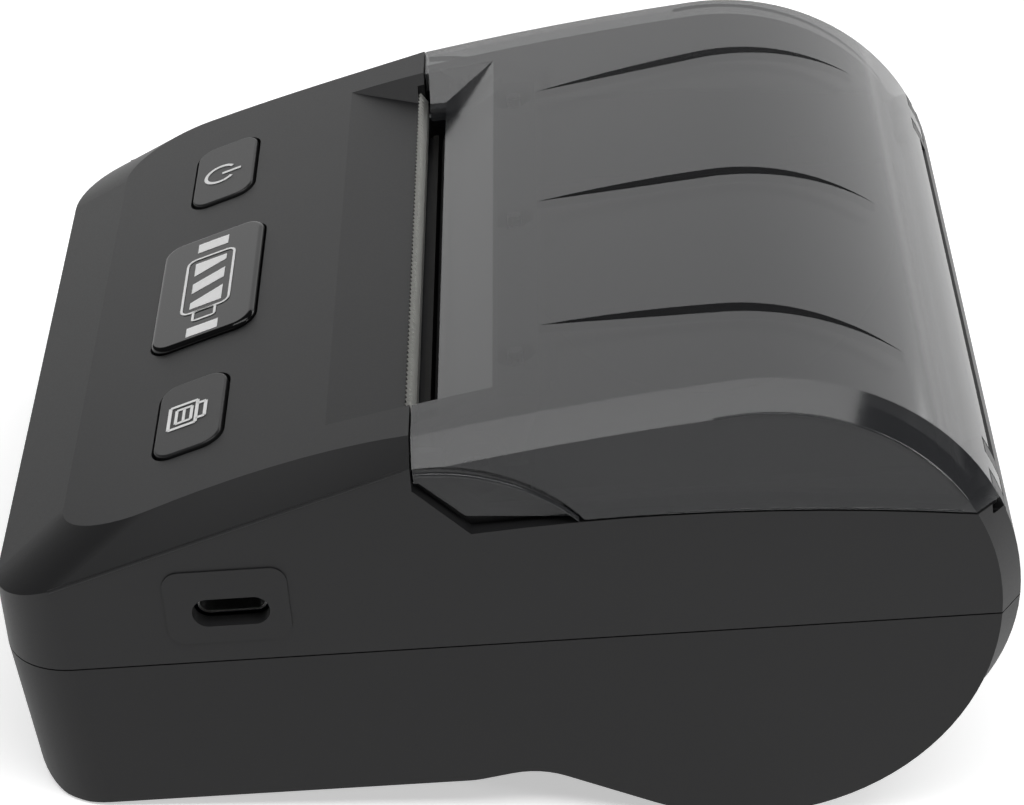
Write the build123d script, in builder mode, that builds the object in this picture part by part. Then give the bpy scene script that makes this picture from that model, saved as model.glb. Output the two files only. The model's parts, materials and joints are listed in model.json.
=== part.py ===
from build123d import *
import os
from math import acos, asin, atan, atan2, cos, degrees, hypot, pi, radians, sin, sqrt, tan

os.makedirs("parts", exist_ok=True)

# Portable receipt printer, in millimetres. The case has its own frame: x across it,
# u toward the back and v up. It leans forward, resting on its belly and its front foot.

# Case outline
half_width = 58.0
wall = 2.2
front_u = -53.1
split_v = 26.1
seam_gap = 0.2
corner_radius = 9.5
front_draft = 5.0
base_v = 4.25
foot_radius = 6.0
base_end_u = 7.0
hump_u = 15.5
hump_round = 12.0
belly_slope = 25.0
roll_u = 45.8
roll_v = 28.2
crown_radius = 33.2
belly_radius = 32.4
heel_shift = 6.0
heel_in_u = 55.0
rest_flat_depth = 0.15

# Shoulders and front panel
shoulder_width = 4.0
shoulder_drop = 2.8
crease_u = 0.2
crease_v = 53.1
crease_slope = 17.8
panel_front = (-44.0, 42.3)
panel_mid = (-21.0, 50.4)
panel_back = (2.6, 56.2)
bezel_half = 52.5
bezel_front_u = -39.0
bezel_rear_rise = 3.1
bezel_slope = 15.1
bezel_radius = 10.0

# Tear valley between the panel and the lid
mouth_half = 46.5
mouth_slope = 11.0
mouth_front = (-8.7, 53.8)
mouth_low = (2.0, 52.7)
ramp_foot = (5.7, 52.9)
ramp_head = (13.7, 58.05)
shell_edge_u = 1.5
shell_end_u = 2.5
lid_front_u = 2.75
slot_half = 41.25

# Lid and its seam
lid_wall = 2.0
top_front = (3.2, 56.0)
top_rear = (43.0, 61.28)
top_sagitta = 0.46
seam_front = (2.6, 50.4)
seam_knee = (9.4, 43.5)
seam_mid = (41.7, 44.3)
seam_back = (74.0, 41.5)
lid_seam_gap = 0.3
lid_cut_front = (3.4, 50.9)
lid_cut_knee = (8.9, 45.6)
lid_cut_back = (22.5, 44.55)
groove_depth = 1.2
groove_half = 1.1

# Lid hinge
hinge_depth = 1.3
lid_open_angle = 80.0
pin_radius = 0.8
knuckle_radius = 2.4
knuckle_clear = 0.35
bore_clear = 0.05
lug_in = 46.4
lug_out = 50.1
ear_in = 43.0
ear_out = 53.5

# Keys and status window
key_x = 33.6
key_u = -27.3
key_width = 17.3
key_length = 9.6
key_round = 2.7
key_gap = 0.45
key_proud = 0.4
window_u = -27.35
window_width = 29.0
window_length = 15.6
window_round = 3.0
window_dome = 0.7
window_seat = 1.2

# Printing mechanism
platen_u = 10.2
platen_v = 46.2
platen_radius = 5.6
platen_half = 40.3
shaft_radius = 2.0
bush_hub = 3.0
bush_flange = 4.0
plate_in = 45.8
plate_out = 47.0
sheet = 1.2
head_gap = 0.3
pivot_u = 0.8
pivot_v = 36.5
pivot_radius = 1.0
gear_module = 0.5
gear_backlash = 0.06
pressure_angle = 25.0
platen_teeth = 28
idler_a_teeth = 24
idler_b_small_teeth = 14
idler_b_large_teeth = 34
pinion_teeth = 14
idler_b_angle = 175.0
motor_angle = 143.0
motor_radius = 8.5
blade_half = 45.0
tooth_pitch = 1.1
tooth_height = 0.9
blade_sheet = 0.5

# Paper bay
tub_clear = 0.3
tub_wall = 1.5
bay_half = 41.3
tub_top_v = 38.5

# Side port
port_u = -22.1
port_v = 34.0
port_width = 10.0
port_height = 4.2
pad_width = 16.0
pad_height = 11.0
pad_proud = 0.2

# Boards, battery and screws
board_v = 30.7
board_sheet = 1.6
board_front_u = -39.0
board_back_u = -13.0
screw_radius = 1.25
screw_head = 2.2
boss_radius = 3.4
front_boss = (-45.0, 46.0)
rear_boss = (60.0, 52.9)
cell_radius = 9.1
door_front_u = -44.0
door_axis_u = -2.0
door_barrel = 1.6
door_half = 36.0



def panel_arc():
    """Centre and radius of the arc through the three points of the panel."""
    ax, ay = panel_front
    bx, by = panel_mid
    cx, cy = panel_back
    d = 2 * (ax * (by - cy) + bx * (cy - ay) + cx * (ay - by))
    sa, sb, sc = ax * ax + ay * ay, bx * bx + by * by, cx * cx + cy * cy
    u = (sa * (by - cy) + sb * (cy - ay) + sc * (ay - by)) / d
    v = (sa * (cx - bx) + sb * (ax - cx) + sc * (bx - ax)) / d
    return u, v, hypot(ax - u, ay - v)


# Keys and window sit on the panel arc
arc_centre_u, arc_centre_v, arc_radius = panel_arc()
key_v = arc_centre_v + sqrt(arc_radius**2 - (key_u - arc_centre_u) ** 2)
window_v = arc_centre_v + sqrt(arc_radius**2 - (window_u - arc_centre_u) ** 2)
panel_slope = degrees(asin((arc_centre_u - key_u) / arc_radius))

# Lean of the case: both rounds of the underside touch the table
belly_u = roll_u + crown_radius - shoulder_drop - belly_radius
foot_v = base_v + foot_radius
foot_u = front_u + (split_v - foot_v) * tan(radians(front_draft)) + foot_radius
round_gap = hypot(belly_u - foot_u, roll_v - foot_v)
lean = degrees(asin((belly_radius - foot_radius) / round_gap) - atan2(roll_v - foot_v, belly_u - foot_u))
lean_cos = cos(radians(lean))
lean_sin = sin(radians(lean))
lift = belly_radius - belly_u * lean_sin - roll_v * lean_cos - rest_flat_depth
nose_v = crease_v - (crease_u - front_u) * tan(radians(crease_slope))
front_reach = front_u * lean_cos - nose_v * lean_sin
back_u = roll_u + sqrt(crown_radius**2 - (split_v + seam_gap - roll_v) ** 2)
back_reach = back_u * lean_cos - (split_v + seam_gap) * lean_sin
shift = -(front_reach + back_reach) / 2


def place(x, u, v):
    """A point of the case frame."""
    return Vector(x, u * lean_cos - v * lean_sin + shift, u * lean_sin + v * lean_cos + lift)


def side_plane(x):
    """A plane across the case: local x is u, local y is v."""
    return Plane(origin=place(x, 0, 0), x_dir=(0, lean_cos, lean_sin), z_dir=(1, 0, 0))


def level_plane(v):
    """A level plane of the case: local x is x, local y is u."""
    return Plane(origin=place(0, 0, v), x_dir=(1, 0, 0), z_dir=(0, -lean_sin, lean_cos))


def slope_plane(x, u, v, slope):
    """A plane that climbs to the back: local x is x, local y runs up the slope."""
    turn = radians(lean + slope)
    return Plane(origin=place(x, u, v), x_dir=(1, 0, 0), z_dir=(0, -sin(turn), cos(turn)))


def polar(u, v, radius, angle):
    """A point at a distance and angle from another."""
    return (u + radius * cos(radians(angle)), v + radius * sin(radians(angle)))


def prism(points, x_low, x_high):
    """A block whose side outline is a polygon."""
    with BuildPart() as block:
        with BuildSketch(side_plane(x_low)):
            with BuildLine():
                Polyline(*points, close=True)
            make_face()
        extrude(amount=x_high - x_low)
    return block.part


def mirrored_prism(points, x_low, x_high):
    """The block and its mirror image."""
    return prism(points, x_low, x_high) + prism(points, -x_high, -x_low)


def rod(u, v, radius, x_low, x_high):
    """A round bar that runs across the case."""
    with BuildPart() as bar:
        with BuildSketch(side_plane(x_low)):
            with Locations((u, v)):
                Circle(radius)
        extrude(amount=x_high - x_low)
    return bar.part


def mirrored_rod(u, v, radius, x_low, x_high):
    """The bar and its mirror image."""
    return rod(u, v, radius, x_low, x_high) + rod(u, v, radius, -x_high, -x_low)


def post(x, u, radius, v_low, v_high):
    """An upright round post."""
    with BuildPart() as bar:
        with BuildSketch(level_plane(v_low)):
            with Locations((x, u)):
                Circle(radius)
        extrude(amount=v_high - v_low)
    return bar.part


def brick(x_low, x_high, u_low, u_high, v_low, v_high):
    """A square block of the case frame."""
    points = [(u_low, v_low), (u_high, v_low), (u_high, v_high), (u_low, v_high)]
    return prism(points, x_low, x_high)


def keyed_block(place_u, place_v, slope, x, width, length, round_by, w_low, w_high):
    """A rounded block that stands square to the panel."""
    with BuildPart() as block:
        with BuildSketch(slope_plane(x, place_u, place_v, slope).offset(w_low)):
            RectangleRounded(width, length, round_by)
        extrude(amount=w_high - w_low)
    return block.part


def screw(x, u, v_head, head_height, shank_length, head, shank):
    """An upright screw with its head at the bottom and a driver slot."""
    body = post(x, u, head, v_head, v_head + head_height)
    body = body + post(x, u, shank, v_head + head_height, v_head + head_height + shank_length)
    return body - brick(x - head, x + head, u - 0.3, u + 0.3, v_head - 0.1, v_head + 0.5)


# Bodies of the case, each at a given inset from the skin
shoulder_angle = degrees(atan(shoulder_drop / shoulder_width))


def corner_inset(point, angle_in, angle_out, inset):
    """Moves a corner of an outline inward, square to both sides."""
    n_in = (-sin(radians(angle_in)), cos(radians(angle_in)))
    n_out = (-sin(radians(angle_out)), cos(radians(angle_out)))
    share = inset / (1 + n_in[0] * n_out[0] + n_in[1] * n_out[1])
    return (point[0] + (n_in[0] + n_out[0]) * share, point[1] + (n_in[1] + n_out[1]) * share)


def heel_profile(x, inset):
    """The side outline of the drum's back below the split, run out on the belly."""
    radius = crown_radius - heel_shift - inset
    centre_u = roll_u + heel_shift
    top = (centre_u + sqrt(radius**2 - (split_v - roll_v) ** 2), split_v)
    middle = polar(centre_u, roll_v, radius, -35)
    low = polar(centre_u, roll_v, radius, -70)
    with BuildSketch(side_plane(x)) as face:
        with BuildLine():
            ThreePointArc(low, middle, top)
            Polyline(top, (heel_in_u, split_v), (heel_in_u, low[1]), low)
        make_face()
    return face.sketch


def heel_body(inset):
    """The drum's bevelled back below the split."""
    flat_half = half_width - shoulder_width - inset * tan(radians(shoulder_angle / 2))
    end_half = half_width - inset
    end_inset = inset + (end_half - flat_half) * shoulder_drop / shoulder_width
    with BuildPart() as body:
        add(heel_profile(-flat_half, inset))
        extrude(amount=2 * flat_half, dir=(1, 0, 0))
    with BuildPart() as end:
        add(heel_profile(flat_half, inset))
        add(heel_profile(end_half, end_inset))
        loft(ruled=True)
    return body.part + end.part + end.part.mirror(Plane.YZ)


def lower_body(inset):
    """The underside: a flat base, a hump and the round belly."""
    slope = radians(belly_slope)
    tangent = (belly_u - belly_radius * sin(slope), roll_v - belly_radius * cos(slope))
    hump = (hump_u, tangent[1] + (tangent[0] - hump_u) * tan(slope))
    rise = degrees(atan2(hump[1] - base_v, hump[0] - base_end_u))
    base_end = corner_inset((base_end_u, base_v), 0, rise, inset)
    hump = corner_inset(hump, rise, -belly_slope, inset)
    radius = belly_radius - inset
    touch = (belly_u - radius * sin(slope), roll_v - radius * cos(slope))
    front = front_u + inset
    draft = tan(radians(front_draft))
    foot = (front + (split_v - base_v - inset) * draft, base_v + inset)
    rear = (belly_u + sqrt(radius**2 - (split_v - roll_v) ** 2), split_v)
    low = polar(belly_u, roll_v, radius, -60)
    with BuildPart() as body:
        with BuildSketch(side_plane(-half_width + inset)):
            with BuildLine():
                Polyline(rear, (front, split_v), foot, base_end, hump, touch)
                ThreePointArc(touch, low, rear)
            make_face()
            fillet(vertices().sort_by_distance((foot[0], foot[1]))[0], foot_radius - inset)
            fillet(vertices().sort_by_distance((base_end[0], base_end[1]))[0], hump_round - inset)
            fillet(vertices().sort_by_distance((hump[0], hump[1]))[0], hump_round + inset)
        extrude(amount=2 * (half_width - inset))
    low_front = front + (split_v + 20) * draft
    with BuildPart() as outline:
        with BuildSketch(side_plane(-half_width + inset)):
            with BuildLine():
                Polyline((front, split_v), (low_front, -20), (90, -20), (90, split_v), close=True)
            make_face()
        extrude(amount=2 * (half_width - inset))
        ends = edges().filter_by(lambda e: e.center().Y < place(0, 0, 0).Y and abs(e.tangent_at(0).Z) > 0.8)
        fillet(ends, corner_radius - inset)
    return (body.part & outline.part) + heel_body(inset)


def front_body(inset):
    """The front half of the upper case, up to the panel and its sloped border."""
    arc_u, arc_v, arc_r = panel_arc()
    radius = arc_r - inset
    with BuildPart() as outline:
        with BuildSketch(level_plane(split_v + seam_gap)):
            with Locations((0, (front_u + inset + shell_end_u) / 2)):
                Rectangle(2 * (half_width - inset), shell_end_u - front_u - inset)
        extrude(amount=40)
        ends = edges().filter_by(lambda e: e.center().Y < place(0, -20, 40).Y and abs(e.tangent_at(0).Z) > 0.8)
        fillet(ends, corner_radius - inset)
    left = (-75, arc_v + sqrt(radius**2 - (-75 - arc_u) ** 2))
    right = (20, arc_v + sqrt(radius**2 - (20 - arc_u) ** 2))
    middle = (-25, arc_v + sqrt(radius**2 - (-25 - arc_u) ** 2))
    with BuildPart() as profile:
        with BuildSketch(side_plane(-70)):
            with BuildLine():
                Polyline(left, (-75, 0), (20, 0), right)
                ThreePointArc(left, middle, right)
            make_face()
        extrude(amount=140)
    drop = inset * tan(radians((90 - shoulder_angle) / 2))
    edge_in = inset * tan(radians(shoulder_angle / 2))
    crease_tan = tan(radians(crease_slope))
    rear_v = crease_v + (shell_end_u - crease_u) * crease_tan
    low_front = (front_u + inset - 0.02, crease_v - drop + (front_u + inset - 0.02 - crease_u) * crease_tan)
    low_back = (20, crease_v - drop + (20 - crease_u) * crease_tan)
    bezel_tan = tan(radians(bezel_slope))
    high_front = (bezel_front_u + edge_in, rear_v - inset + bezel_rear_rise + (bezel_front_u + edge_in - shell_end_u) * bezel_tan)
    high_back = (20, rear_v - inset + bezel_rear_rise + (20 - shell_end_u) * bezel_tan)
    low_len = hypot(low_back[0] - low_front[0], low_back[1] - low_front[1])
    high_len = hypot(high_back[0] - high_front[0], high_back[1] - high_front[1])
    with BuildPart() as crown:
        with BuildSketch(slope_plane(0, (low_front[0] + low_back[0]) / 2, (low_front[1] + low_back[1]) / 2, crease_slope)):
            RectangleRounded(2 * (half_width - inset), low_len, corner_radius - inset - 0.1)
        with BuildSketch(slope_plane(0, (high_front[0] + high_back[0]) / 2, (high_front[1] + high_back[1]) / 2, bezel_slope)):
            RectangleRounded(2 * (bezel_half - edge_in), high_len, bezel_radius)
        loft(ruled=True)
    with BuildPart() as above:
        with BuildSketch(slope_plane(0, crease_u, crease_v - drop, crease_slope)):
            with Locations((0, -20)):
                Rectangle(150, 140)
        extrude(amount=60)
    return (outline.part & profile.part) - (above.part - crown.part)


def crown_profile(x, inset, reach):
    """The side outline of the rear half, a little above or below the nominal skin."""
    radius = crown_radius - inset
    slope = atan2(top_rear[1] - top_front[1], top_rear[0] - top_front[0])
    nx, ny = -sin(slope), cos(slope)
    start = (top_front[0] - 12 - nx * inset, top_front[1] - 12 * tan(slope + 0.046) - ny * inset)
    end = (roll_u + (top_rear[0] - roll_u), roll_v + sqrt(radius**2 - (top_rear[0] - roll_u) ** 2))
    middle = ((top_front[0] + top_rear[0]) / 2 - nx * (inset - top_sagitta), (top_front[1] + top_rear[1]) / 2 - ny * (inset - top_sagitta))
    face_plane = side_plane(x)
    with BuildSketch(face_plane) as face:
        with BuildLine():
            Polyline(start, (start[0], reach), (roll_u, reach), (roll_u, roll_v - radius))
            ThreePointArc((roll_u, roll_v - radius), (roll_u + radius, roll_v), end)
            ThreePointArc(end, middle, start)
        make_face()
    return face.sketch


def rear_body(inset):
    """The rear half of the upper case with the lid shut: a crown with sloped shoulders."""
    flat_half = half_width - shoulder_width - inset * tan(radians(shoulder_angle / 2))
    end_half = half_width - inset
    end_inset = inset + (end_half - flat_half) * shoulder_drop / shoulder_width
    with BuildPart() as body:
        add(crown_profile(-flat_half, inset, 0))
        extrude(amount=2 * flat_half, dir=(1, 0, 0))
    with BuildPart() as end:
        add(crown_profile(flat_half, inset, 0))
        add(crown_profile(end_half, end_inset, 0))
        loft(ruled=True)
    return body.part + end.part + end.part.mirror(Plane.YZ)


def mouth(grow):
    """The valley of the tear slot, grown by a wall for the skin under it."""
    ramp = atan2(ramp_head[1] - ramp_foot[1], ramp_head[0] - ramp_foot[0])
    floor_turn = atan2(mouth_low[1] - mouth_front[1], mouth_low[0] - mouth_front[0])
    front = (mouth_front[0] - 30, mouth_front[1] - grow / cos(floor_turn) - 30 * tan(floor_turn))
    low = (shell_end_u, mouth_low[1] - grow / cos(floor_turn) + (shell_end_u - mouth_low[0]) * tan(floor_turn))
    foot = (ramp_foot[0] + grow * 0.3, ramp_foot[1] - grow / cos(ramp) + grow * 0.3 * tan(ramp))
    head = (ramp_head[0] + 20, ramp_head[1] - grow / cos(ramp) + 20 * tan(ramp))
    valley = prism([front, low, foot, head, (head[0], 85), (front[0], 85)], -60, 60)
    half = mouth_half + grow * sqrt(2)
    plane = slope_plane(0, mouth_front[0], mouth_front[1], mouth_slope)
    across = Plane(origin=plane.origin - plane.y_dir * 25, x_dir=(-1, 0, 0), z_dir=plane.y_dir)
    with BuildPart() as trench:
        with BuildSketch(across):
            with BuildLine():
                Polyline((-half - 8, 8), (-half + 9, -9), (half - 9, -9), (half + 8, 8), close=True)
            make_face()
        extrude(amount=60)
    return valley & trench.part


def seam_region(gap, forward):
    """Everything above the side seam, for the lid or for cutting the case."""
    mid = (seam_mid[0], seam_mid[1] + gap)
    back = (seam_back[0], seam_back[1] + gap)
    knee = (seam_knee[0], seam_knee[1] + gap)
    tail = (back[0] + 12, back[1] - 12 * tan(radians(8.2)))
    with BuildPart() as region:
        with BuildSketch(side_plane(-70)):
            with BuildLine():
                Polyline(tail, (tail[0], 90), (forward, 90), (forward, seam_front[1]), (seam_front[0], seam_front[1]), knee)
                ThreePointArc(knee, mid, back)
                Line(back, tail)
            make_face()
        extrude(amount=140)
    return region.part


# Hinge axis, just inside the skin at the back seam
seam_skin_v = seam_back[1] - 0.3
seam_skin_u = roll_u + sqrt(crown_radius**2 - (seam_skin_v - roll_v) ** 2)
hinge_turn = atan2(seam_skin_v - roll_v, seam_skin_u - roll_u)
hinge_u = seam_skin_u - hinge_depth * cos(hinge_turn)
hinge_v = seam_skin_v - hinge_depth * sin(hinge_turn)
back_wall_top = hinge_v - hinge_depth * tan(radians(lid_open_angle / 2)) - 0.2

# Gear train: the first idler lies straight below the platen, along the lid's path
lift_angle = 90 + degrees(atan2(-(platen_v - hinge_v), hinge_u - platen_u))
span_pa = gear_module * (platen_teeth + idler_a_teeth) / 2
span_ab = gear_module * (idler_a_teeth + idler_b_small_teeth) / 2
span_bm = gear_module * (idler_b_large_teeth + pinion_teeth) / 2
idler_a_u, idler_a_v = polar(platen_u, platen_v, span_pa, lift_angle + 180)
idler_b_u, idler_b_v = polar(idler_a_u, idler_a_v, span_ab, idler_b_angle)
motor_u, motor_v = polar(idler_b_u, idler_b_v, span_bm, motor_angle)


def next_phase(line_angle, phase, teeth, next_teeth):
    """Turns a gear so that its gaps meet the teeth of the gear before it."""
    pitch = 360 / teeth
    share = ((line_angle - phase) / pitch) % 1
    return line_angle + 180 + (share - 0.5) * 360 / next_teeth


platen_phase = lift_angle + 180
idler_a_phase = next_phase(lift_angle + 180, platen_phase, platen_teeth, idler_a_teeth)
idler_b_phase = next_phase(idler_b_angle, idler_a_phase, idler_a_teeth, idler_b_small_teeth)
pinion_phase = next_phase(motor_angle, idler_b_phase, idler_b_large_teeth, pinion_teeth)


def gear(u, v, teeth, phase, x_low, x_high):
    """A spur gear with involute flanks."""
    pitch_r = gear_module * teeth / 2
    base_r = pitch_r * cos(radians(pressure_angle))
    tip_r = pitch_r + 0.9 * gear_module
    root_r = pitch_r - 1.25 * gear_module
    half_tooth = (pi * gear_module / 2 - gear_backlash) / 2 / pitch_r
    involute = tan(radians(pressure_angle)) - radians(pressure_angle)
    points = []
    for tooth in range(teeth):
        centre = radians(phase) + 2 * pi * tooth / teeth
        flank = []
        for radius in (root_r, max(base_r, root_r + 0.05), (pitch_r + base_r) / 2, pitch_r, (pitch_r + tip_r) / 2, tip_r):
            roll = acos(min(1.0, base_r / radius))
            spread = half_tooth + involute - (tan(roll) - roll)
            flank.append((radius, spread))
        for radius, spread in flank:
            points.append((u + radius * cos(centre - spread), v + radius * sin(centre - spread)))
        for radius, spread in reversed(flank):
            points.append((u + radius * cos(centre + spread), v + radius * sin(centre + spread)))
    return prism(points, x_low, x_high)


# Lower case
lower_shell = lower_body(0) - lower_body(wall)
tongue = mirrored_prism([(-40, 22), (66, 22), (66, split_v + 2), (-40, split_v + 2)], 54.6, 55.6)
tongue = tongue + mirrored_prism([(-40, 22), (66, 22), (66, split_v - 0.4), (-40, split_v - 0.4)], 55.5, 56.5)
tower_gap = mirrored_prism([(55.5, 20), (64.5, 20), (64.5, 30), (55.5, 30)], 50, 56)
tongue = tongue - tower_gap
front_tongue = brick(-40, 40, front_u + wall + 0.2, front_u + wall + 1.2, 22, split_v + 2)
front_tongue = front_tongue + brick(-40, 40, front_u + 1.5, front_u + wall + 1.2, 22, split_v - 0.4)
lower_inside = lower_body(0.8)
floor_posts = post(-42, -34, 2.5, 5, board_v) + post(42, -34, 2.5, 5, board_v)
floor_posts = floor_posts + post(-42, -16, 2.5, 5, board_v) + post(42, -16, 2.5, 5, board_v)
frame_posts = post(-42, -1, 2.5, 5, 33) + post(42, -1, 2.5, 5, 33)
frame_posts = frame_posts + post(-42, 10.4, 2.5, 6, 33) + post(42, 10.4, 2.5, 6, 33)
case_bosses = post(-front_boss[1], front_boss[0], boss_radius, 5, 27) + post(front_boss[1], front_boss[0], boss_radius, 5, 27)
rear_tower = post(-rear_boss[1], rear_boss[0], boss_radius, -2, 27) + post(rear_boss[1], rear_boss[0], boss_radius, -2, 27)
boss_trim = lower_body(0.8) + (brick(-55.6, 55.6, -50.7, 74, split_v - 0.01, 40))
inner_bosses = (case_bosses + rear_tower) & boss_trim
posts_in = (floor_posts + frame_posts) & (lower_inside + brick(-50, 50, -50, 40, split_v - 0.01, 40))
bay_walls = brick(-38.9, -36.6, -5.0, 0.9, 5.5, 8.8) + brick(36.6, 38.9, -5.0, 0.9, 5.5, 8.8)
bay_walls = bay_walls + brick(-37.8, -36.6, -44, -5.0, 5.5, 15) + brick(36.6, 37.8, -44, -5.0, 5.5, 15)
tub_ledges = mirrored_prism([(20, 0), (68, 0), (68, 24), (20, 24)], 43.1, 44.3) & lower_inside
door_axis_v = base_v + door_barrel
door_cut = brick(-door_half - 0.3, door_half + 0.3, door_front_u - 0.3, door_axis_u, base_v - 1, base_v + 4)
door_cut = door_cut + rod(door_axis_u, door_axis_v, door_barrel + 0.3, -door_half - 0.3, door_half + 0.3)
door_bores = mirrored_rod(door_axis_u, door_axis_v, 0.9 + bore_clear, 36, 38.4)
with BuildPart() as lower_case:
    add(lower_shell)
    add(tongue & lower_body(0.0).fuse(brick(-60, 60, -60, 90, split_v - 0.01, 40)))
    add(front_tongue)
    add(inner_bosses)
    add(posts_in)
    add(bay_walls)
    add(tub_ledges)
    add(door_cut, mode=Mode.SUBTRACT)
    add(door_bores, mode=Mode.SUBTRACT)
    for side in (-1, 1):
        for boss, low in ((front_boss, 0), (rear_boss, -10)):
            add(post(side * boss[1], boss[0], screw_head + 0.3, low, 16), mode=Mode.SUBTRACT)
            add(post(side * boss[1], boss[0], screw_radius + bore_clear, 15, 30), mode=Mode.SUBTRACT)
        for u in (-34, -16):
            add(post(side * 42, u, 0.9 + bore_clear, board_v - 6, board_v + 1), mode=Mode.SUBTRACT)
        for u in (-1, 10.4):
            add(post(side * 42, u, 0.9 + bore_clear, 27, 34), mode=Mode.SUBTRACT)
    with BuildSketch(Plane.XY):
        Rectangle(200, 200)
    extrude(amount=-20, mode=Mode.SUBTRACT)
lower_case.part.label = "lower_case"
export_step(lower_case.part, "parts/lower_case.step")

# Battery door with a full-width hinge barrel
door_points = [(door_front_u, base_v), (door_axis_u, base_v), (door_axis_u, base_v + 1.75), (door_front_u, base_v + 1.75)]
with BuildPart() as battery_door:
    add(prism(door_points, -door_half, door_half))
    add(rod(door_axis_u, door_axis_v, door_barrel, -door_half, door_half))
    add(mirrored_rod(door_axis_u, door_axis_v, 0.9, 36, 38.2))
    add(brick(-30, -29, -40, -8, base_v + 1.7, base_v + 2.25))
    add(brick(29, 30, -40, -8, base_v + 1.7, base_v + 2.25))
battery_door.part.label = "battery_door"
export_step(battery_door.part, "parts/battery_door.step")

# Battery: two cells side by side in one wrap
cell_v = base_v + 2.6 + cell_radius
with BuildPart() as battery_pack:
    add(rod(-34.0, cell_v, cell_radius, -35, 35))
    add(rod(-34.0 + 2 * cell_radius, cell_v, cell_radius, -35, 35))
    add(brick(-35, 35, -34.0, -34.0 + 2 * cell_radius, cell_v - cell_radius, cell_v + cell_radius))
battery_pack.part.label = "battery_pack"
export_step(battery_pack.part, "parts/battery_pack.step")

with BuildPart() as battery_contacts:
    add(brick(35.3, 36.3, -31, -27, 8.0, 14.0))
    add(brick(36.1, 36.6, -31, -27, 8.0, 15.0))
    add(brick(35.3, 36.3, -21, -17, 8.0, 14.0))
    add(brick(36.1, 36.6, -21, -17, 8.0, 15.0))
battery_contacts.part.label = "battery_contacts"
export_step(battery_contacts.part, "parts/battery_contacts.step")

# Upper case
with BuildPart() as port_hole:
    with BuildSketch(side_plane(50)):
        with Locations((port_u, port_v)):
            RectangleRounded(port_width, port_height, port_height / 2 - 0.05)
    extrude(amount=12)
with BuildPart() as port_pad:
    with BuildSketch(side_plane(half_width - 1)):
        with Locations((port_u - 0.4, port_v + 0.9)):
            RectangleRounded(pad_width, pad_height, 2.2)
    extrude(amount=1 + pad_proud)
rear_low = brick(-60, 60, shell_end_u - 0.01, 90, split_v + seam_gap, 70)
rear_skin = (rear_body(0) & rear_low) - seam_region(0, -5)
rear_cavity = rear_body(wall) & brick(-60, 60, shell_end_u - 5, 90, 0, 70)
front_skin = front_body(0) - mouth(0)
front_cavity = front_body(wall) - mouth(wall - 0.2)
side_lip = mirrored_prism(
    [(3.0, 30), (70, 30), (70, 43.4), (41.7, 46.0), (24, 45.8), (11.6, 45.8), (5.4, 51.2), (4.2, 52.2), (3.0, 52.2)],
    54.5,
    half_width - wall,
)
side_lip = side_lip & rear_body(wall + 0.1)
side_lip = side_lip + mirrored_prism([(3.0, 30), (70, 30), (70, 40.8), (41.7, 43.6), (9.8, 42.6), (3.0, 49.6)], 54.5, 56.0)
upper_bosses = post(-front_boss[1], front_boss[0], 3.2, 27.2, 44) + post(front_boss[1], front_boss[0], 3.2, 27.2, 44)
rear_tops = post(-rear_boss[1], rear_boss[0], 3.2, 27.2, 37) + post(rear_boss[1], rear_boss[0], 3.2, 27.2, 37)
board_drop = 7.2
key_posts = Part()
for x in (-18.5, 18.5):
    for s in (-6.5, 2.5):
        at = slope_plane(x, key_u, key_v, panel_slope)
        with BuildPart() as one_post:
            with BuildSketch(at.offset(-board_drop)):
                with Locations((0, s)):
                    Circle(1.9)
            extrude(amount=board_drop - 0.8)
        key_posts = key_posts + one_post.part
ear_blocks = mirrored_rod(hinge_u, hinge_v, knuckle_radius, ear_in, lug_in - 0.3)
ear_blocks = ear_blocks + mirrored_rod(hinge_u, hinge_v, knuckle_radius, lug_out + 0.3, ear_out)
ear_blocks = ear_blocks & rear_body(0.02)
relief_half = half_width - shoulder_width
relief_reach = 2.2
edge_sweep = hypot(hinge_depth, 0.3 + seam_gap) + 0.35
back_lip = brick(-42, 42, hinge_u - 2.0, hinge_u - 0.95, hinge_v - 5, hinge_v + 0.8)
back_lip = back_lip + (brick(-42, 42, hinge_u - 2.0, hinge_u + 0.9, hinge_v - 4, back_wall_top) & rear_body(1.0))
back_relief = brick(-relief_half, relief_half, hinge_u - 6, 90, back_wall_top, 70)
with BuildPart() as edge_relief:
    with BuildSketch(side_plane(relief_half - 0.01)):
        with Locations((hinge_u, hinge_v)):
            Circle(edge_sweep)
    with BuildSketch(side_plane(relief_half + relief_reach)):
        with Locations((hinge_u, hinge_v)):
            Circle(edge_sweep - relief_reach * shoulder_drop / shoulder_width)
    loft(ruled=True)
edge_relief = (edge_relief.part + edge_relief.part.mirror(Plane.YZ)) & brick(-60, 60, hinge_u, 90, 20, 70)
lug_room = mirrored_rod(hinge_u, hinge_v, knuckle_radius + knuckle_clear, lug_in - 0.3, lug_out + 0.3)
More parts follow.
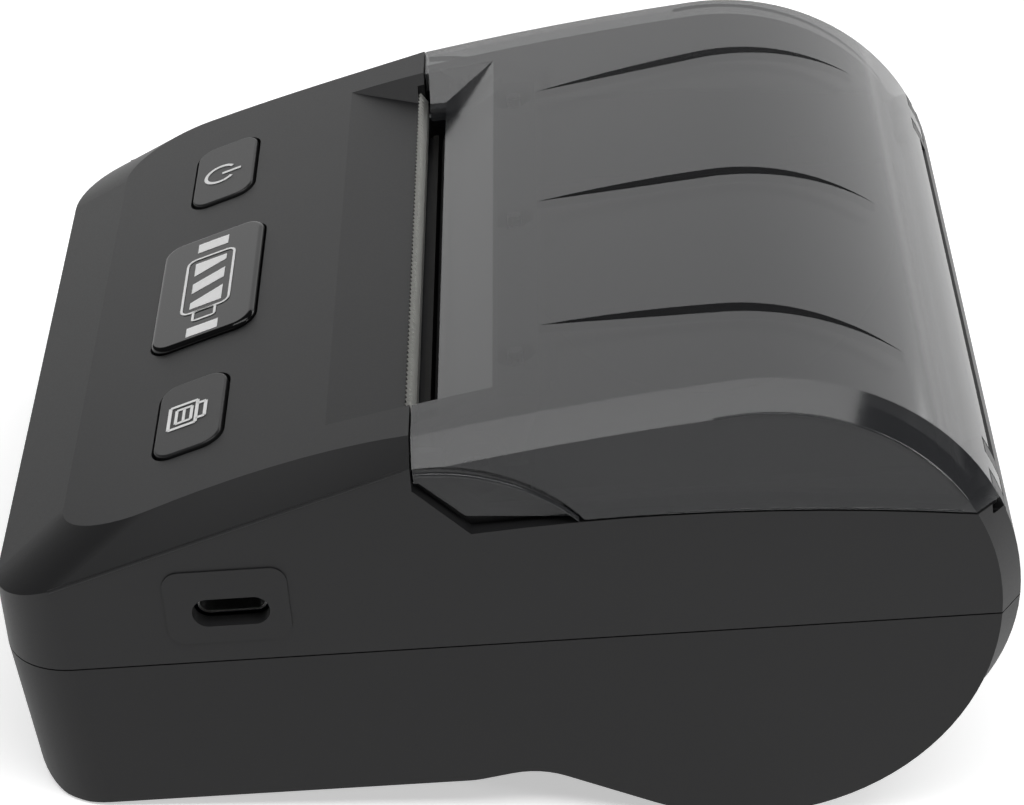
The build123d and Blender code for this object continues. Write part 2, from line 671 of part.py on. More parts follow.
with BuildPart() as upper_case:
    add(front_skin - brick(-blade_half - 0.4, blade_half + 0.4, shell_edge_u, 10, 45, 60))
    add(front_cavity, mode=Mode.SUBTRACT)
    add(rear_skin - rear_cavity)
    add(brick(-60, 60, -60, 0, 0, split_v + seam_gap), mode=Mode.SUBTRACT)
    add(side_lip)
    add(upper_bosses & front_body(0.8))
    add(rear_tops & rear_body(0.8))
    add(key_posts & front_body(0.8))
    add(back_relief, mode=Mode.SUBTRACT)
    add(edge_relief, mode=Mode.SUBTRACT)
    add(lug_room, mode=Mode.SUBTRACT)
    add(ear_blocks)
    add(back_lip)
    add(port_pad.part)
    add(port_hole.part, mode=Mode.SUBTRACT)
    add(mirrored_rod(hinge_u, hinge_v, pin_radius, ear_in - 0.1, ear_out + 0.1), mode=Mode.SUBTRACT)
    for side in (-1, 1):
        add(post(side * front_boss[1], front_boss[0], screw_radius, 26, 36), mode=Mode.SUBTRACT)
        add(post(side * rear_boss[1], rear_boss[0], screw_radius, 26, 35), mode=Mode.SUBTRACT)
        add(
            keyed_block(key_u, key_v, panel_slope, side * key_x, key_width + 2 * key_gap, key_length + 2 * key_gap, key_round + key_gap, -5, 5),
            mode=Mode.SUBTRACT,
        )
        for s in (-6.5, 2.5):
            at = slope_plane(side * 18.5, key_u, key_v, panel_slope)
            with BuildSketch(at.offset(-board_drop - 1)):
                with Locations((0, s)):
                    Circle(0.85)
            extrude(amount=5, mode=Mode.SUBTRACT)
    for x in (-30, 0, 30):
        add(post(x, -2.4, 0.85, 45, 52.0), mode=Mode.SUBTRACT)
    add(
        keyed_block(window_u, window_v, panel_slope, 0, window_width + 0.5, window_length + 0.5, window_round + 0.25, -window_seat, 4),
        mode=Mode.SUBTRACT,
    )
    add(
        keyed_block(window_u, window_v, panel_slope, 0, window_width - 4, window_length - 4, 2.0, -5, 4),
        mode=Mode.SUBTRACT,
    )
upper_case.part.label = "upper_case"
export_step(upper_case.part, "parts/upper_case.step")

# Lid
lid_region = seam_region(lid_seam_gap, lid_front_u)
lid_front_cut = brick(-70, 70, -20, lid_front_u, 0, 90)
lid_front_cut = lid_front_cut + brick(-slot_half, slot_half, -20, ramp_foot[0], 0, 90)
lid_front_cut = lid_front_cut + brick(-mouth_half, mouth_half, -20, lid_front_u + 0.55, 0, 90)
lid_front_cut = lid_front_cut + prism([(-20, 0), (22.5, 0), lid_cut_back, lid_cut_knee, lid_cut_front, (-20, 50.9)], -70, 70)
lid_outer = (rear_body(0) & lid_region) - mouth(0) - lid_front_cut
lid_core = rear_body(lid_wall) - mouth(lid_wall)


def crescent(x_front, u_front, x_mid, u_mid, x_back, u_back):
    """A long crescent cut into the crown."""
    with BuildPart() as cutter:
        with BuildSketch(level_plane(40)):
            with BuildLine():
                ThreePointArc((x_front, u_front), (x_mid - groove_half, u_mid), (x_back, u_back))
                ThreePointArc((x_back, u_back), (x_mid + groove_half, u_mid), (x_front, u_front))
            make_face()
        extrude(amount=40)
    return cutter.part - rear_body(groove_depth)


with BuildPart() as leaf_cut:
    with BuildSketch(side_plane(half_width - 1.1)):
        with BuildLine():
            ThreePointArc((2.0, 52.9), (14.5, 50.6), (23.3, 44.0))
            Polyline((23.3, 44.0), (23.3, 40), (2.0, 40), (2.0, 52.9))
        make_face()
    with BuildSketch(side_plane(half_width + 0.1)):
        with BuildLine():
            ThreePointArc((2.0, 53.9), (15.3, 51.6), (24.4, 44.0))
            Polyline((24.4, 44.0), (24.4, 40), (2.0, 40), (2.0, 53.9))
        make_face()
    loft(ruled=True)
lid_bosses = post(-36, 16, 2.6, 54.85, 60) + post(0, 16, 2.6, 54.85, 60) + post(36, 16, 2.6, 54.85, 60)
lid_rib = brick(-44, 44, 20.4, 21.4, 55.2, 60)
lug_blocks = mirrored_rod(hinge_u, hinge_v, knuckle_radius, lug_in, lug_out)
lug_arm = mirrored_prism(
    [(hinge_u - knuckle_radius, hinge_v), (hinge_u + 4, hinge_v), (hinge_u + 4, hinge_v + 5), (hinge_u - knuckle_radius, hinge_v + 5)],
    lug_in,
    lug_out,
)
ear_room = mirrored_rod(hinge_u, hinge_v, knuckle_radius + knuckle_clear, ear_in - 0.3, lug_in)
ear_room = ear_room + mirrored_rod(hinge_u, hinge_v, knuckle_radius + knuckle_clear, lug_out, ear_out + 0.3)
with BuildPart() as lid:
    add(lid_outer - lid_core)
    add(lid_bosses & rear_body(0.8) - mouth(0.8))
    add(lid_rib & rear_body(0.8))
    add(ear_room, mode=Mode.SUBTRACT)
    add((lug_blocks + lug_arm) & rear_body(0.02))
    add(mirrored_rod(hinge_u, hinge_v, pin_radius + bore_clear, lug_in - 0.1, lug_out + 0.1), mode=Mode.SUBTRACT)
    add(leaf_cut.part, mode=Mode.SUBTRACT)
    add(leaf_cut.part.mirror(Plane.YZ), mode=Mode.SUBTRACT)
    add(crescent(33.15, 19.3, 36.35, 44.0, 39.55, 65.7), mode=Mode.SUBTRACT)
    add(crescent(-33.15, 19.3, -36.35, 44.0, -39.55, 65.7), mode=Mode.SUBTRACT)
    add(crescent(0, 19.3, 0, 44.0, 0, 65.7), mode=Mode.SUBTRACT)
    for x in (-36, 0, 36):
        add(post(x, 16, 0.95, 54, 57.0), mode=Mode.SUBTRACT)
lid.part.label = "lid"
export_step(lid.part, "parts/lid.step")

with BuildPart() as hinge_pins:
    add(mirrored_rod(hinge_u, hinge_v, pin_radius, ear_in, ear_out))
hinge_pins.part.label = "hinge_pins"
export_step(hinge_pins.part, "parts/hinge_pins.step")

# Keys
for name, x in (("power_button", -key_x), ("feed_button", key_x)):
    with BuildPart() as key:
        with BuildSketch(slope_plane(x, key_u, key_v, panel_slope).offset(-3.3)):
            RectangleRounded(key_width, key_length, key_round)
        extrude(amount=3.3 + key_proud)
        fillet(key.faces().sort_by(Axis.Z)[-1].edges(), 0.3)
        with BuildSketch(slope_plane(x, key_u, key_v, panel_slope).offset(-3.3)):
            RectangleRounded(key_width + 2.4, key_length + 1.6, key_round)
        extrude(amount=0.8)
        with BuildSketch(slope_plane(x, key_u, key_v, panel_slope).offset(-4.1)):
            Circle(1.6)
        extrude(amount=1.0)
    key.part.label = name
    export_step(key.part, f"parts/{name}.step")

# Status window
with BuildPart() as display_lens:
    with BuildSketch(slope_plane(0, window_u, window_v, panel_slope).offset(-window_seat + 0.02)):
        RectangleRounded(window_width, window_length, window_round)
    extrude(amount=window_seat - 0.02 + window_dome)
    fillet(display_lens.faces().sort_by(Axis.Z)[-1].edges(), window_dome)
display_lens.part.label = "display_lens"
export_step(display_lens.part, "parts/display_lens.step")

# Key board under the panel
with BuildPart() as key_board:
    with BuildSketch(slope_plane(0, key_u, key_v, panel_slope).offset(-board_drop)):
        with Locations((0, -2.1)):
            RectangleRounded(84, 13.8, 1.0)
        for x in (-18.5, 18.5):
            for s in (-6.5, 2.5):
                with Locations((x, s)):
                    Circle(0.95, mode=Mode.SUBTRACT)
    extrude(amount=-board_sheet)
key_board.part.label = "key_board"
export_step(key_board.part, "parts/key_board.step")

with BuildPart() as key_board_screws:
    for x in (-18.5, 18.5):
        for s in (-6.5, 2.5):
            with BuildSketch(slope_plane(x, key_u, key_v, panel_slope).offset(-board_drop - board_sheet - 0.9)):
                with Locations((0, s)):
                    Circle(1.7)
            extrude(amount=0.9)
            with BuildSketch(slope_plane(x, key_u, key_v, panel_slope).offset(-board_drop - board_sheet)):
                with Locations((0, s)):
                    Circle(0.85)
            extrude(amount=board_sheet + 2.9)
key_board_screws.part.label = "key_board_screws"
export_step(key_board_screws.part, "parts/key_board_screws.step")

with BuildPart() as key_switches:
    for x in (-key_x, key_x):
        with BuildSketch(slope_plane(x, key_u, key_v, panel_slope).offset(-board_drop)):
            RectangleRounded(6.2, 6.2, 0.4)
        extrude(amount=1.6)
        with BuildSketch(slope_plane(x, key_u, key_v, panel_slope).offset(-board_drop + 1.6)):
            Circle(1.5)
        extrude(amount=0.75)
key_switches.part.label = "key_switches"
export_step(key_switches.part, "parts/key_switches.step")

with BuildPart() as status_lights:
    for x, s in ((-8, 1.5), (8, 1.5), (-3.5, -2), (0, -2), (3.5, -2)):
        with BuildSketch(slope_plane(x, key_u, key_v, panel_slope).offset(-board_drop)):
            with Locations((0, s)):
                Rectangle(2.0, 1.25)
        extrude(amount=0.8)
status_lights.part.label = "status_lights"
export_step(status_lights.part, "parts/status_lights.step")

# Case screws
with BuildPart() as case_screws:
    for side in (-1, 1):
        for boss, top in ((front_boss, 35.5), (rear_boss, 34.5)):
            add(screw(side * boss[1], boss[0], 14.2, 1.8, top - 16, screw_head, screw_radius - 0.02))
case_screws.part.label = "case_screws"
export_step(case_screws.part, "parts/case_screws.step")

# Side port socket and main board
with BuildPart() as main_board:
    add(brick(-46, 50, board_front_u, board_back_u, board_v, board_v + board_sheet))
    for x in (-42, 42):
        for u in (-34, -16):
            add(post(x, u, 0.95, board_v - 1, board_v + 3), mode=Mode.SUBTRACT)
main_board.part.label = "main_board"
export_step(main_board.part, "parts/main_board.step")

board_top = board_v + board_sheet
with BuildPart() as board_screws:
    for x in (-42, 42):
        for u in (-34, -16):
            add(post(x, u, 0.9, board_v - 5.5, board_top))
            add(post(x, u, 1.8, board_top, board_top + 0.6 if u > -20 else board_top + 1.0))
board_screws.part.label = "board_screws"
export_step(board_screws.part, "parts/board_screws.step")

with BuildPart() as usb_socket:
    with BuildSketch(side_plane(47.4)):
        with Locations((port_u, board_top + 1.65)):
            RectangleRounded(9.0, 3.3, 1.4)
    extrude(amount=8.2)
    with BuildSketch(side_plane(48.4)):
        with Locations((port_u, board_top + 1.65)):
            RectangleRounded(8.4, 2.7, 1.2)
    extrude(amount=7.3, mode=Mode.SUBTRACT)
    add(brick(48.3, 54.6, port_u - 3.2, port_u + 3.2, board_top + 1.3, board_top + 2.0))
usb_socket.part.label = "usb_socket"
export_step(usb_socket.part, "parts/usb_socket.step")

with BuildPart() as board_parts:
    add(brick(-12, 2, -30, -20, board_top, board_top + 1.4))
    add(brick(14, 22, -24, -17, board_top, board_top + 1.2))
    add(brick(12, 30, -37, -34, board_top, board_top + 2.4))
    add(brick(-24, -4, -17, -14, board_top, board_top + 0.9))
board_parts.part.label = "board_parts"
export_step(board_parts.part, "parts/board_parts.step")

with BuildPart() as buzzer:
    add(post(-28, -31, 4.5, board_top, board_top + 3.2))
    add(post(-28, -31, 0.8, board_top + 2.6, board_top + 4), mode=Mode.SUBTRACT)
buzzer.part.label = "buzzer"
export_step(buzzer.part, "parts/buzzer.step")

# Mechanism frame: a base plate, two side plates and an upright for the head springs
upright_u = -3.0
notch_r = bush_flange + bore_clear
side_low = [(-6, 33), (17, 33), (17, platen_v), (platen_u, platen_v), (platen_u, 49), (-6, 49)]
notch = rod(platen_u, platen_v, notch_r, -60, 60)
notch = notch + brick(-60, 60, platen_u - notch_r, platen_u + 8, platen_v, 60)
side_right = prism(side_low, plate_in, plate_out)
side_left = prism([(-20, 31.6), (14, 31.6), (17, 34.6), (17, platen_v), (platen_u, platen_v), (platen_u, 49), (-20, 49)], -plate_out, -plate_in)
left_trim = prism([(-21, 40), (-10, 49), (-10, 55), (-21, 55)], -50, -40) + prism([(-21, 31), (-8, 31), (-12, 33.4), (-21, 38)], -50, -40)
with BuildPart() as mechanism_frame:
    add(brick(-plate_out, plate_out, upright_u - sheet, 13.4, 33, 33 + sheet))
    add(brick(-26, plate_out, upright_u - sheet, upright_u, 33, 47))
    add(side_right)
    add(side_left)
    add(left_trim, mode=Mode.SUBTRACT)
    add(notch, mode=Mode.SUBTRACT)
    add(rod(pivot_u, pivot_v, pivot_radius + bore_clear, -60, 60), mode=Mode.SUBTRACT)
    add(rod(motor_u, motor_v, 1.4, -60, -40), mode=Mode.SUBTRACT)
    add(rod(idler_a_u, idler_a_v, 1.0, -60, -40), mode=Mode.SUBTRACT)
    add(rod(idler_b_u, idler_b_v, 1.0, -60, -40), mode=Mode.SUBTRACT)
    for x in (-42, 42):
        for u in (-1, 10.4):
            add(post(x, u, 0.95, 30, 36), mode=Mode.SUBTRACT)
mechanism_frame.part.label = "mechanism_frame"
export_step(mechanism_frame.part, "parts/mechanism_frame.step")

with BuildPart() as mechanism_screws:
    for x in (-42, 42):
        for u in (-1, 10.4):
            add(post(x, u, 0.9, 27.5, 33 + sheet))
            add(post(x, u, 1.8, 33 + sheet, 33 + sheet + 0.8))
mechanism_screws.part.label = "mechanism_screws"
export_step(mechanism_screws.part, "parts/mechanism_screws.step")

with BuildPart() as head_pivot_shaft:
    add(rod(pivot_u, pivot_v, pivot_radius, -47.1, 47.6))
head_pivot_shaft.part.label = "head_pivot_shaft"
export_step(head_pivot_shaft.part, "parts/head_pivot_shaft.step")

# Print head on its tilting carrier
head_face_u = platen_u - platen_radius - head_gap
with BuildPart() as head_plate:
    add(brick(-40, 40, head_face_u - 2.3, head_face_u - 0.8, 36.0, 48.6))
    add(mirrored_rod(pivot_u, pivot_v, 1.9, 37, 40))
    add(brick(-40, -37, pivot_u, head_face_u - 0.8, 36.0, 38.4))
    add(brick(37, 40, pivot_u, head_face_u - 0.8, 36.0, 38.4))
    add(rod(pivot_u, pivot_v, pivot_radius + bore_clear, -50, 50), mode=Mode.SUBTRACT)
    add(brick(-36.9, 36.9, -2, head_face_u - 0.8, 34.0, 37.9), mode=Mode.SUBTRACT)
head_plate.part.label = "head_plate"
export_step(head_plate.part, "parts/head_plate.step")

with BuildPart() as thermal_head:
    add(brick(-40.3, 40.3, head_face_u - 0.8, head_face_u, 40.0, 48.8))
thermal_head.part.label = "thermal_head"
export_step(thermal_head.part, "parts/thermal_head.step")

spring_length = head_face_u - 2.3 - 0.45 - upright_u


def spring(x):
    """A short coil spring that stands on the upright."""
    base = Plane(origin=place(x, upright_u + 0.32, 43.5), x_dir=(1, 0, 0), z_dir=(0, lean_cos, lean_sin))
    with BuildPart() as coil:
        with BuildLine() as turns:
            Helix(pitch=0.95, height=spring_length - 0.65, radius=2.2, center=base.origin, direction=base.z_dir)
        with BuildSketch(Plane(origin=turns.line @ 0, z_dir=turns.line % 0)):
            Circle(0.3)
        sweep(is_frenet=True)
    return coil.part


with BuildPart() as head_springs:
    add(spring(20))
    add(spring(20).mirror(Plane.YZ))
head_springs.part.label = "head_springs"
export_step(head_springs.part, "parts/head_springs.step")

with BuildPart() as paper_sensor:
    add(brick(7, 15, 6.5, 11.5, 33 + sheet, 33 + sheet + 3.4))
paper_sensor.part.label = "paper_sensor"
export_step(paper_sensor.part, "parts/paper_sensor.step")

# Tear blade: a flange under the valley floor, a riser and a toothed lip
floor_turn = atan2(mouth_low[1] - mouth_front[1], mouth_low[0] - mouth_front[0])


def under_floor(u, depth):
    """A point below the valley floor."""
    return (u, mouth_low[1] + (u - mouth_low[0]) * tan(floor_turn) - depth)


flange_depth = wall + 0.02
riser_in = shell_edge_u + 0.9
blade_points = [
    under_floor(-4.4, flange_depth),
    under_floor(riser_in, flange_depth),
    (riser_in, 52.0),
    (riser_in - 0.9, 53.4),
    (riser_in - 0.45, 53.62),
    (riser_in + blade_sheet, 52.15),
    under_floor(riser_in + blade_sheet, flange_depth + blade_sheet),
    under_floor(-4.4, flange_depth + blade_sheet),
]
tooth_count = int(2 * blade_half / tooth_pitch)
zigzag = [(-blade_half, 0)]
for tooth in range(tooth_count):
    left = -tooth_count * tooth_pitch / 2 + tooth * tooth_pitch
    zigzag.append((left, -tooth_height))
    zigzag.append((left + tooth_pitch / 2, 0))
zigzag.append((tooth_count * tooth_pitch / 2, -tooth_height))
zigzag.append((blade_half, 0))
zigzag = zigzag + [(blade_half + 1, 0), (blade_half + 1, 1), (-blade_half - 1, 1), (-blade_half - 1, 0)]
lip_turn = degrees(atan2(53.4 - 52.0, -0.9)) + lean
lip_top = place(0, riser_in - 0.65, 53.5)
lip_y = Vector(0, cos(radians(lip_turn)), sin(radians(lip_turn)))
with BuildPart() as tear_blade:
    add(prism(blade_points, -blade_half, blade_half))
    with BuildSketch(Plane(origin=lip_top, x_dir=(1, 0, 0), z_dir=Vector(1, 0, 0).cross(lip_y))):
        with BuildLine():
            Polyline(*zigzag, close=True)
        make_face()
    extrude(amount=1.5, both=True, mode=Mode.SUBTRACT)
    for x in (-30, 0, 30):
        add(post(x, -2.4, 0.9, 45, 52.0), mode=Mode.SUBTRACT)
tear_blade.part.label = "tear_blade"
export_step(tear_blade.part, "parts/tear_blade.step")

blade_under = under_floor(-2.4, flange_depth + blade_sheet)[1]
with BuildPart() as blade_screws:
    for x in (-30, 0, 30):
        add(post(x, -2.4, 1.6, blade_under - 1.1, blade_under - 0.2))
        add(post(x, -2.4, 0.83, blade_under - 0.3, 51.8))
blade_screws.part.label = "blade_screws"
export_step(blade_screws.part, "parts/blade_screws.step")

# Platen and its carrier, on the lid
with BuildPart() as platen_roller:
    add(rod(platen_u, platen_v, platen_radius, -platen_half, platen_half))
    add(rod(platen_u, platen_v, shaft_radius, -50, 50), mode=Mode.SUBTRACT)
platen_roller.part.label = "platen_roller"
export_step(platen_roller.part, "parts/platen_roller.step")

with BuildPart() as platen_shaft:
    add(rod(platen_u, platen_v, shaft_radius, -51.0, 48.0))
platen_shaft.part.label = "platen_shaft"
export_step(platen_shaft.part, "parts/platen_shaft.step")

with BuildPart() as platen_bushes:
    add(mirrored_rod(platen_u, platen_v, bush_hub, 42.0, 44.3))
    add(mirrored_rod(platen_u, platen_v, bush_flange, 44.2, 47.2))
    add(rod(platen_u, platen_v, shaft_radius + bore_clear, -60, 60), mode=Mode.SUBTRACT)
platen_bushes.part.label = "platen_bushes"
export_step(platen_bushes.part, "parts/platen_bushes.step")

with BuildPart() as platen_gear:
    add(gear(platen_u, platen_v, platen_teeth, platen_phase, -50.4, -48.4))
    add(rod(platen_u, platen_v, 3.4, -51.0, -47.9))
    add(rod(platen_u, platen_v, shaft_radius, -60, -40), mode=Mode.SUBTRACT)
platen_gear.part.label = "platen_gear"
export_step(platen_gear.part, "parts/platen_gear.step")

ear_profile = [(platen_u - 4.6, 43.5), (platen_u - 3, 41.6), (platen_u + 3, 41.6), (platen_u + 5, 43.5), (19, 53.8), (19, 54.8), (13.6, 54.8), (platen_u - 4.6, 49)]
with BuildPart() as platen_bracket:
    add(brick(-44, 44, 13.6, 19, 53.8, 54.8))
    add(mirrored_prism(ear_profile, 42.0, 44.0))
    add(rod(platen_u, platen_v, bush_hub, -60, 60), mode=Mode.SUBTRACT)
    for x in (-36, 0, 36):
        add(post(x, 16, 1.1, 50, 58), mode=Mode.SUBTRACT)
platen_bracket.part.label = "platen_bracket"
export_step(platen_bracket.part, "parts/platen_bracket.step")

with BuildPart() as bracket_screws:
    for x in (-36, 0, 36):
        add(post(x, 16, 1.9, 52.9, 53.8))
        add(post(x, 16, 0.95, 53.8, 56.8))
bracket_screws.part.label = "bracket_screws"
export_step(bracket_screws.part, "parts/bracket_screws.step")

# Gear train on the left side plate
with BuildPart() as idler_gear_a:
    add(gear(idler_a_u, idler_a_v, idler_a_teeth, idler_a_phase, -50.4, -48.4))
    add(rod(idler_a_u, idler_a_v, 2.2, -50.5, -47.3))
    add(rod(idler_a_u, idler_a_v, 1.0 + bore_clear, -60, -40), mode=Mode.SUBTRACT)
idler_gear_a.part.label = "idler_gear_a"
export_step(idler_gear_a.part, "parts/idler_gear_a.step")

with BuildPart() as idler_gear_b:
    add(gear(idler_b_u, idler_b_v, idler_b_small_teeth, idler_b_phase, -51.9, -48.4))
    add(gear(idler_b_u, idler_b_v, idler_b_large_teeth, idler_b_phase, -53.3, -51.8))
    add(rod(idler_b_u, idler_b_v, 2.0, -53.4, -47.3))
    add(rod(idler_b_u, idler_b_v, 1.0 + bore_clear, -60, -40), mode=Mode.SUBTRACT)
idler_gear_b.part.label = "idler_gear_b"
export_step(idler_gear_b.part, "parts/idler_gear_b.step")

with BuildPart() as gear_studs:
    add(rod(idler_a_u, idler_a_v, 1.0, -51.0, -plate_in))
    add(rod(idler_a_u, idler_a_v, 1.6, -51.2, -50.7))
    add(rod(idler_b_u, idler_b_v, 1.0, -54.0, -plate_in))
    add(rod(idler_b_u, idler_b_v, 1.6, -54.1, -53.6))
gear_studs.part.label = "gear_studs"
export_step(gear_studs.part, "parts/gear_studs.step")

with BuildPart() as motor_pinion:
    add(gear(motor_u, motor_v, pinion_teeth, pinion_phase, -53.6, -51.5))
    add(rod(motor_u, motor_v, 1.0, -53.7, -38))
motor_pinion.part.label = "motor_pinion"
export_step(motor_pinion.part, "parts/motor_pinion.step")

with BuildPart() as motor_body:
    add(rod(motor_u, motor_v, motor_radius, -plate_in, -30))
    add(rod(motor_u, motor_v, 3.0, -30, -28.6))
    add(rod(motor_u, motor_v, 1.0 + bore_clear, -60, -37.5), mode=Mode.SUBTRACT)
motor_body.part.label = "motor_body"
export_step(motor_body.part, "parts/motor_body.step")

# Paper tub
tub_radius = belly_radius - wall - tub_clear
tub_edge = sqrt(tub_radius**2 - (tub_top_v - roll_v) ** 2)
with BuildPart() as paper_tub:
    add(rod(belly_u, roll_v, tub_radius, -bay_half - tub_wall, bay_half + tub_wall))
    add(rod(belly_u, roll_v, tub_radius - tub_wall, -bay_half, bay_half), mode=Mode.SUBTRACT)
    add(brick(-60, 60, 0, 90, tub_top_v, 80), mode=Mode.SUBTRACT)
paper_tub.part.label = "paper_tub"
export_step(paper_tub.part, "parts/paper_tub.step")

axis_list = {
    "lean": lean,
    "hinge": place(0, hinge_u, hinge_v),
    "platen": place(0, platen_u, platen_v),
    "idler_a": place(0, idler_a_u, idler_a_v),
    "idler_b": place(0, idler_b_u, idler_b_v),
    "motor": place(0, motor_u, motor_v),
    "pivot": place(0, pivot_u, pivot_v),
    "door": place(0, door_axis_u, door_axis_v),
    "power": place(-key_x, key_u, key_v),
    "feed": place(key_x, key_u, key_v),
    "press": slope_plane(0, key_u, key_v, panel_slope).z_dir,
    "roll": place(0, belly_u, roll_v),
    "port": place(half_width, port_u, port_v),
}
for name, value in axis_list.items():
    print(name, value)
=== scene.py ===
"""Looks of the portable receipt printer: finishes, printed symbols, lit edges, lights and camera."""

import json
import logging
import math
from dataclasses import dataclass, field
from enum import Enum

import bpy
from mathutils import Matrix, Vector

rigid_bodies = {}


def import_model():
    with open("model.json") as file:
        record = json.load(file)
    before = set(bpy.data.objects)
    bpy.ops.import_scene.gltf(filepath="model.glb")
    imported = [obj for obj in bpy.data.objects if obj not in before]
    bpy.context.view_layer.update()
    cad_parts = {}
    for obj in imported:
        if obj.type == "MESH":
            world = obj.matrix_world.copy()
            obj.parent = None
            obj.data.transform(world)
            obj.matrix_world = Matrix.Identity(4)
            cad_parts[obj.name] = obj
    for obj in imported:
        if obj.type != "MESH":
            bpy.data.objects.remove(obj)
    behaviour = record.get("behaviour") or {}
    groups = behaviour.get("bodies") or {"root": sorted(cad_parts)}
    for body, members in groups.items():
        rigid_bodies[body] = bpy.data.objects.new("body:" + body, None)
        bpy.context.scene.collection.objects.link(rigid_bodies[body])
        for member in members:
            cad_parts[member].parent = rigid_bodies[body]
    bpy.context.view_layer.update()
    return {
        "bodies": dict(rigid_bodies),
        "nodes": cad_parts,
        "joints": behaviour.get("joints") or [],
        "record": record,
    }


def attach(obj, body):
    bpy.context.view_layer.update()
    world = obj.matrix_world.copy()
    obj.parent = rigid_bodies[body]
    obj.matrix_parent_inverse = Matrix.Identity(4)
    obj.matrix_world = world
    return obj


logging.basicConfig(level=logging.INFO, format="%(message)s")
log = logging.getLogger("printer")

MM = 0.001
MICRON = 1e-6
Pair = tuple[float, float]
Triple = tuple[float, float, float]

# The case leans forward on its belly; these place a point of the case frame in the row frame.
LEAN = math.radians(5.469295)
SHIFT_MM = -9.8958
LIFT_MM = 0.0036

# The panel's arc in the case frame, through the three points that the source uses.
PANEL_POINTS = ((-44.0, 42.3), (-21.0, 50.4), (2.6, 56.2))

# Surface patterns: the drift of the colour, how strong the fine relief is, and how far the grain
# of metal is drawn out along X.
DRIFT_MM = 18
BUMP_STRENGTH = 0.6
PLAIN_GRAIN = (1.0, 1.0, 1.0)
METAL_GRAIN = (0.04, 1.0, 1.0)

# Printed ink: its height over the carrier and its thickness, the height of the carriers over the
# panel, and how far back the symbols of the keys are.
INK_HEIGHT_MM = 0.04
INK_BODY_MM = 0.05
KEY_PROUD_MM = 0.4
WINDOW_PROUD_MM = 0.72
KEY_U = -27.9

# A bead's cross-section, and the angle up to which its faces are smoothed into each other.
RING_SIDES = 12
SMOOTH_ANGLE = math.radians(40)

# How bright the surround is as a light, and what the floor adds where it is seen or mirrored.
SURROUND_LIGHT = 0.09
FLOOR_GLOW = 0.5
FLOOR_SIDE_M = 8
FLOOR_DROP_M = 0.0004
WHITE = (1.0, 1.0, 1.0, 1.0)


class Family(Enum):
    """How a surface was made, which decides its fine pattern."""

    MOULDED = "moulded"
    POLISHED = "polished"
    METAL = "metal"
    RUBBER = "rubber"
    PLAIN = "plain"


def linear(hex_colour: str) -> tuple[float, float, float, float]:
    """Turns an sRGB hex colour into linear values.

    Args:
        hex_colour: six hex digits.

    Returns:
        Linear red, green, blue and an alpha of one.
    """
    values = [int(hex_colour[i : i + 2], 16) / 255 for i in (0, 2, 4)]
    turned = [v / 12.92 if v <= 0.04045 else ((v + 0.055) / 1.055) ** 2.4 for v in values]
    return (turned[0], turned[1], turned[2], 1.0)


def add_node(tree: bpy.types.NodeTree, kind: str, settings: dict, links: dict) -> bpy.types.Node:
    """Adds one shader node.

    Args:
        tree: the material's node tree.
        kind: the node's type name.
        settings: attributes, or input values by input name or number.
        links: input name or number to the output socket that feeds it.

    Returns:
        The new node.
    """
    node = tree.nodes.new(kind)
    for name, value in settings.items():
        if isinstance(name, int) or name in node.inputs:
            node.inputs[name].default_value = value
        else:
            setattr(node, name, value)
    for name, socket in links.items():
        tree.links.new(socket, node.inputs[name])
    return node


